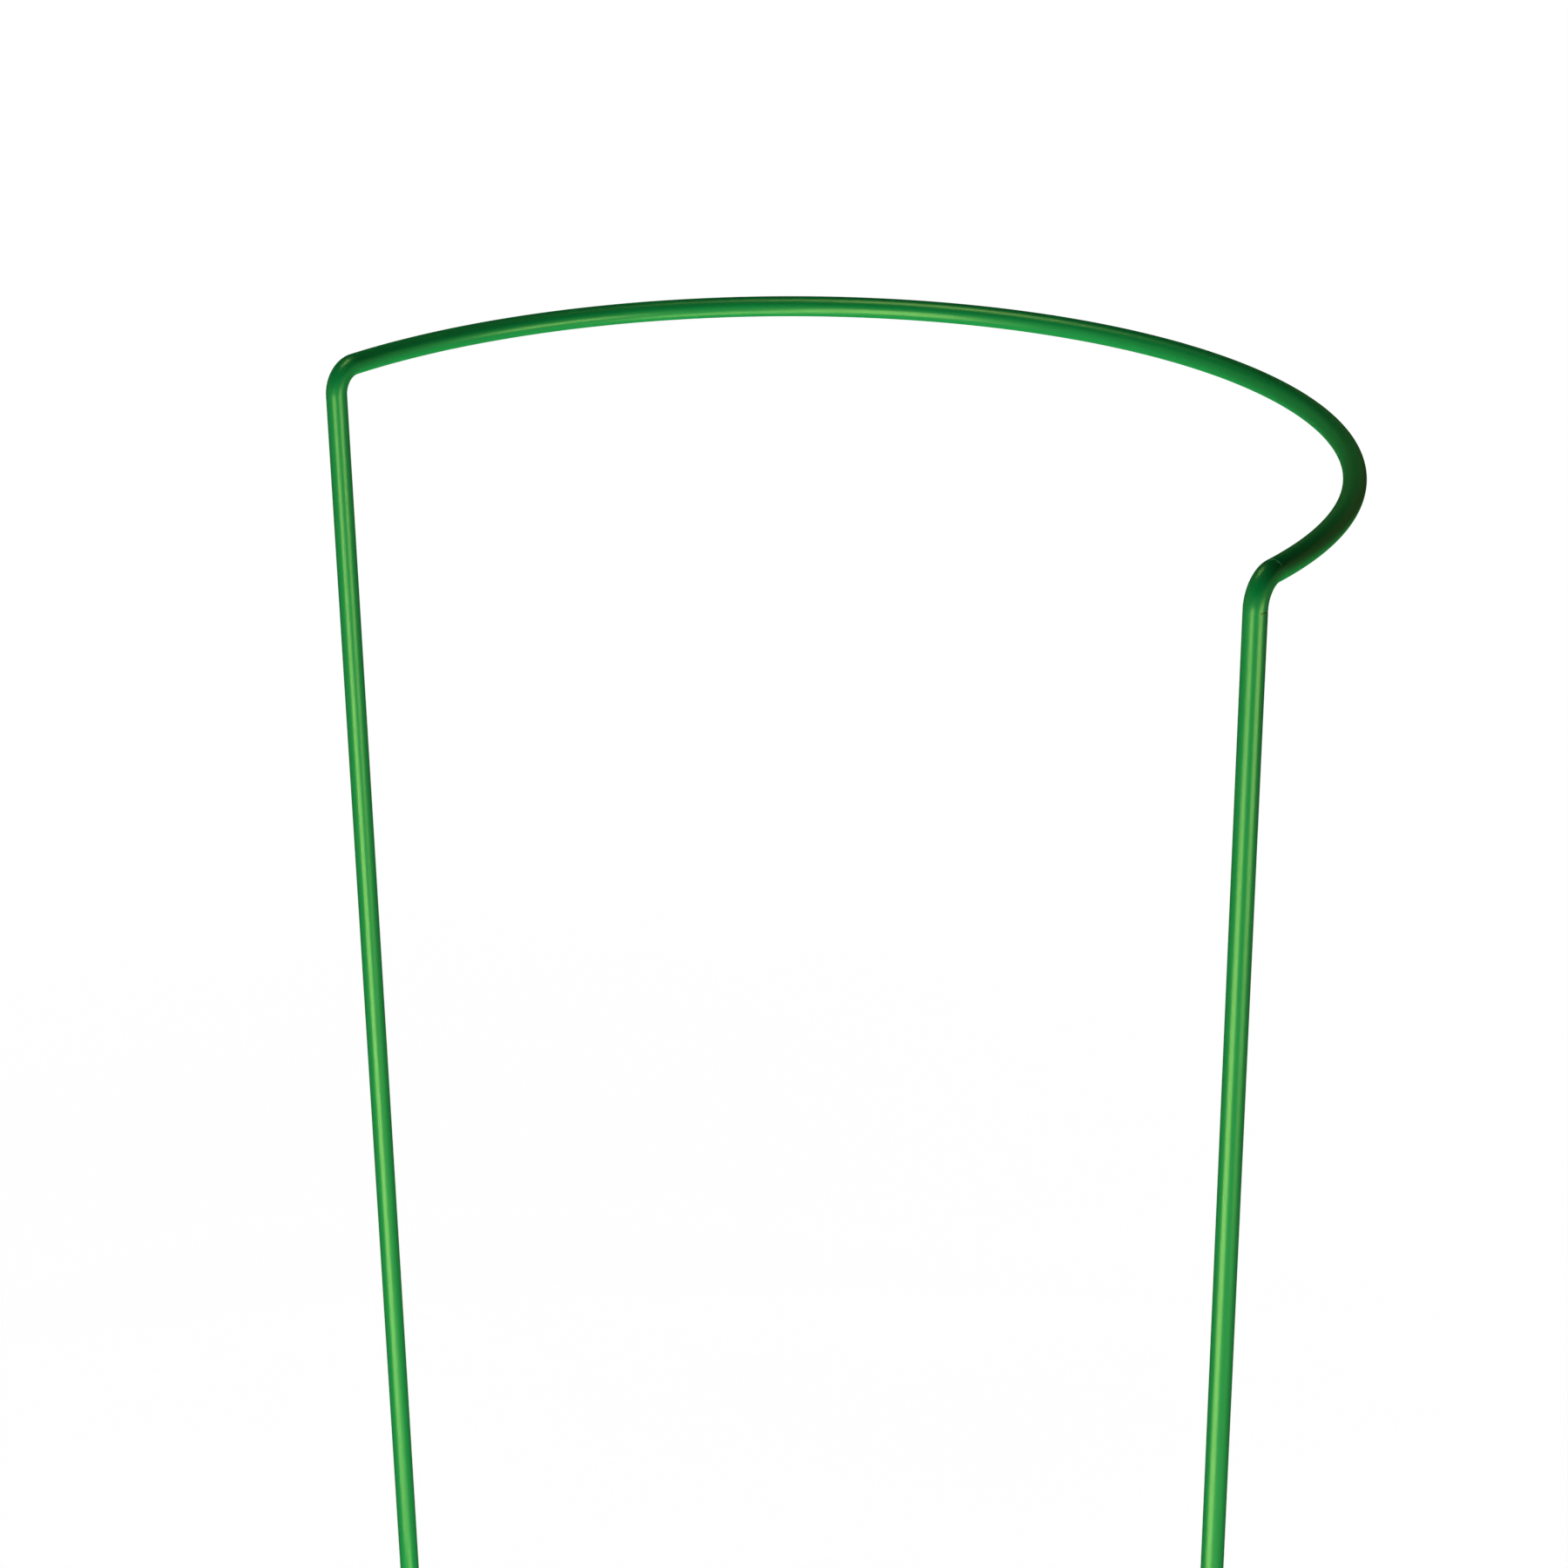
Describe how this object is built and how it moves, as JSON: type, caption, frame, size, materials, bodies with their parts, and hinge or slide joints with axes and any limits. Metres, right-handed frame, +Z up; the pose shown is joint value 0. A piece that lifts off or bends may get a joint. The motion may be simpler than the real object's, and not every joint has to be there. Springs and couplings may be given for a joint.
{
  "type": "u-shaped plant support",
  "caption": "Half-round plant support: a plastic-coated steel tube bent into a level half hoop on straight legs, whose moulded points push into the soil.",
  "frame": {"origin": "midway between the legs' centre lines, at the soil line, 150 mm above the points", "axes": "+Z up along the legs, X from leg to leg, +Y the way the hoop reaches out"},
  "size_m": [0.4084, 0.2182, 0.6],
  "materials": {
    "tube_steel": "bare cold-rolled steel tube",
    "sheath_plastic": "smooth glossy green extrusion",
    "tip_plastic": "satin moulded green plastic"
  },
  "bodies": {
    "root": {"steel_tube": "tube_steel", "plastic_sheath": "sheath_plastic", "left_tip": "tip_plastic", "right_tip": "tip_plastic"}
  },
  "joints": []
}
